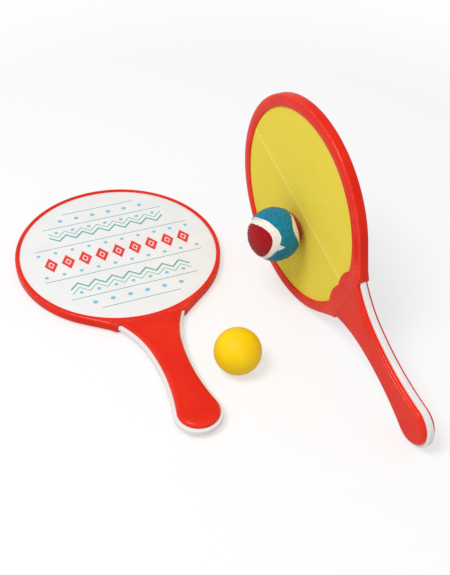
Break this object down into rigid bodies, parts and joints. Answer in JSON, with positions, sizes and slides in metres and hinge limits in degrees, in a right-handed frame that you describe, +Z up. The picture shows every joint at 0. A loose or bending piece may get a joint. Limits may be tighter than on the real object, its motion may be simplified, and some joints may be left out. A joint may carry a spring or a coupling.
{
  "type": "kids tennis set",
  "caption": "Toy tennis and catch set: round bats with a flat hitting face and a loop-fabric catch pad, a felt ball that clings to the pad and a plain hollow ball.",
  "frame": {"origin": "middle of the set's footprint, on the surface that it lies and stands on", "axes": "+Z up; +X from the lying bat to the standing bat; +Y away from the handles"},
  "size_m": [0.3586, 0.3116, 0.19],
  "materials": {
    "red_plastic": "moulded, semi-gloss",
    "white_plastic": "moulded, satin",
    "printed_sheet": "printed sheet, satin",
    "foam_backing": "soft foam",
    "loop_fabric": "brushed loop nap",
    "cream_felt": "fuzzy felt",
    "red_felt": "fuzzy felt",
    "teal_felt": "fuzzy felt",
    "ball_core": "plain",
    "yellow_plastic": "satin"
  },
  "bodies": {
    "bat_1": {"bat_1_front_rim": "red_plastic", "bat_1_rear_rim": "red_plastic", "bat_1_core": "white_plastic", "bat_1_face_panel": "printed_sheet", "bat_1_pad_backing": "foam_backing", "bat_1_catch_pad": "loop_fabric", "bat_1_front_grip": "red_plastic", "bat_1_rear_grip": "red_plastic"},
    "bat_2": {"bat_2_front_rim": "red_plastic", "bat_2_rear_rim": "red_plastic", "bat_2_core": "white_plastic", "bat_2_face_panel": "printed_sheet", "bat_2_pad_backing": "foam_backing", "bat_2_catch_pad": "loop_fabric", "bat_2_front_grip": "red_plastic", "bat_2_rear_grip": "red_plastic"},
    "felt_ball": {"felt_ball_core": "ball_core", "felt_ball_cover": "cream_felt", "felt_ball_red_panel": "red_felt", "felt_ball_teal_panel": "teal_felt"},
    "play_ball": {"play_ball_upper_half": "yellow_plastic", "play_ball_lower_half": "yellow_plastic"}
  },
  "joints": [
    {"name": "bat_2_lift", "type": "slide", "parent": "bat_1", "child": "bat_2", "axis": [0, 0, 1], "range_m": [0, 0.25]},
    {"name": "felt_ball_pull", "type": "slide", "parent": "bat_2", "child": "felt_ball", "axis": [-0.8829, -0.4695, 0], "range_m": [0, 0.1]},
    {"name": "play_ball_lift", "type": "slide", "parent": "bat_1", "child": "play_ball", "axis": [0, 0, 1], "range_m": [0, 0.2]}
  ]
}
